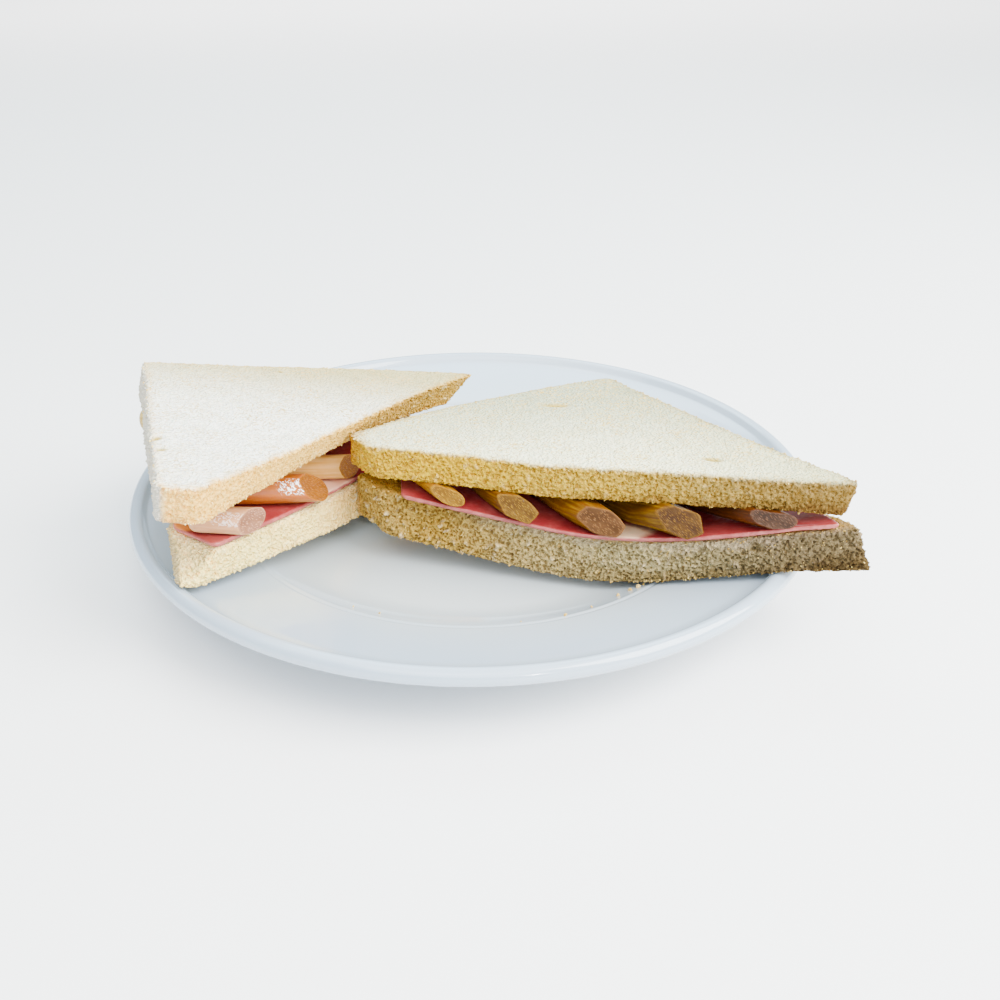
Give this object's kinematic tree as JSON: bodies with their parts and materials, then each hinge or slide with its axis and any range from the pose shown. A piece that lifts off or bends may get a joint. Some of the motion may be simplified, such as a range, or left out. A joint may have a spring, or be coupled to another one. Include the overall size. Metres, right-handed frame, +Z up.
{
  "type": "ham and asparagus sandwich",
  "caption": "White-bread sandwich of ham and pale asparagus spears, cut corner to corner, its halves leaning side by side on a round porcelain dessert plate.",
  "frame": {"origin": "centre of the plate's round foot at table level", "axes": "+Z up, -Y towards the side the sandwich is seen from, +X along the longer cut half"},
  "size_m": [0.2, 0.2, 0.0557],
  "materials": {
    "glazed_porcelain": "white porcelain under clear gloss glaze",
    "bread": "soft white crumb with fine pores",
    "bread_cut": "moist cream crumb with torn pores",
    "ham": "moist pink cooked ham",
    "spear_gold": "wet golden stewed stalk",
    "spear_white": "wet translucent cream stalk"
  },
  "bodies": {
    "root": {"plate": "glazed_porcelain", "left_bread_top": "bread", "left_bread_bottom": "bread_cut", "right_bread_top": "bread", "right_bread_bottom": "bread_cut", "left_ham": "ham", "right_ham": "ham", "left_spear_1": "spear_white", "left_spear_2": "spear_gold", "left_spear_3": "spear_white", "left_spear_4": "spear_gold", "right_spear_1": "spear_gold", "right_spear_2": "spear_gold", "right_spear_3": "spear_white", "right_spear_4": "spear_gold", "right_spear_5": "spear_white"}
  },
  "joints": []
}
